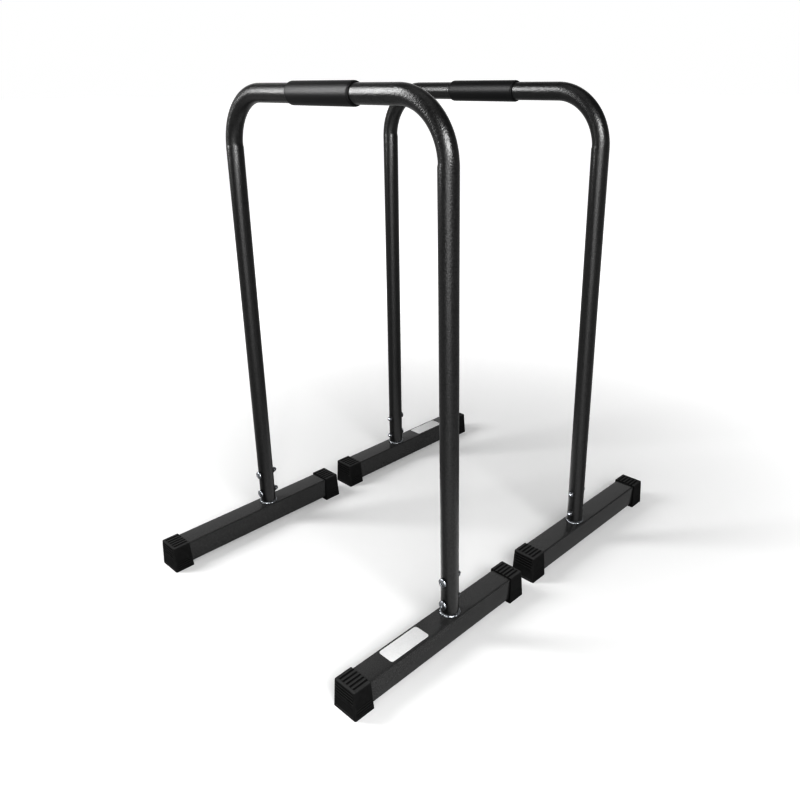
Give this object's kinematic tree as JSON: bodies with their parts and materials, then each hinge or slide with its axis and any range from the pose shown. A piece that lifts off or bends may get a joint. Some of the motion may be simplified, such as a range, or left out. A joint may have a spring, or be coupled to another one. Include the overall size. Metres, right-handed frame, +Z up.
{
  "type": "dip station",
  "caption": "Free-standing dip station: matching bent-tube bar stands with grip sleeves, bolted square feet and ribbed rubber end caps.",
  "frame": {"origin": "on the floor, at the middle of the pair's outline", "axes": "+X along both bars, +Y from the near stand to the far stand along the feet, +Z up"},
  "size_m": [0.6156, 0.9036, 0.933],
  "materials": {
    "frame_paint": "near-black hammered powder coat, semi-gloss, on round steel tube",
    "foot_paint": "near-black semi-gloss powder coat on square steel tube",
    "fastener_steel": "bright zinc-plated steel, satin",
    "washer_nylon": "black moulded nylon saddle washers, satin",
    "grip_rubber": "black moulded rubber sleeve, fine matt grain",
    "cap_rubber": "black moulded rubber, ribbed, matt",
    "label_white": "plain white satin plate, blank"
  },
  "bodies": {
    "root": {"near_frame_tube": "frame_paint", "near_grip_sleeve": "grip_rubber", "near_front_foot": "foot_paint", "near_front_outer_cap": "cap_rubber", "near_front_inner_cap": "cap_rubber", "near_front_lower_bolt": "fastener_steel", "near_front_lower_cap_nut": "fastener_steel", "near_front_lower_head_washer": "washer_nylon", "near_front_lower_nut_washer": "washer_nylon", "near_front_upper_bolt": "fastener_steel", "near_front_upper_cap_nut": "fastener_steel", "near_front_upper_head_washer": "washer_nylon", "near_front_upper_nut_washer": "washer_nylon", "near_rear_foot": "foot_paint", "near_rear_outer_cap": "cap_rubber", "near_rear_inner_cap": "cap_rubber", "near_rear_lower_bolt": "fastener_steel", "near_rear_lower_cap_nut": "fastener_steel", "near_rear_lower_head_washer": "washer_nylon", "near_rear_lower_nut_washer": "washer_nylon", "near_rear_upper_bolt": "fastener_steel", "near_rear_upper_cap_nut": "fastener_steel", "near_rear_upper_head_washer": "washer_nylon", "near_rear_upper_nut_washer": "washer_nylon", "near_blank_label": "label_white", "far_frame_tube": "frame_paint", "far_grip_sleeve": "grip_rubber", "far_front_foot": "foot_paint", "far_front_outer_cap": "cap_rubber", "far_front_inner_cap": "cap_rubber", "far_front_lower_bolt": "fastener_steel", "far_front_lower_cap_nut": "fastener_steel", "far_front_lower_head_washer": "washer_nylon", "far_front_lower_nut_washer": "washer_nylon", "far_front_upper_bolt": "fastener_steel", "far_front_upper_cap_nut": "fastener_steel", "far_front_upper_head_washer": "washer_nylon", "far_front_upper_nut_washer": "washer_nylon", "far_rear_foot": "foot_paint", "far_rear_outer_cap": "cap_rubber", "far_rear_inner_cap": "cap_rubber", "far_rear_lower_bolt": "fastener_steel", "far_rear_lower_cap_nut": "fastener_steel", "far_rear_lower_head_washer": "washer_nylon", "far_rear_lower_nut_washer": "washer_nylon", "far_rear_upper_bolt": "fastener_steel", "far_rear_upper_cap_nut": "fastener_steel", "far_rear_upper_head_washer": "washer_nylon", "far_rear_upper_nut_washer": "washer_nylon", "far_blank_label": "label_white"}
  },
  "joints": []
}
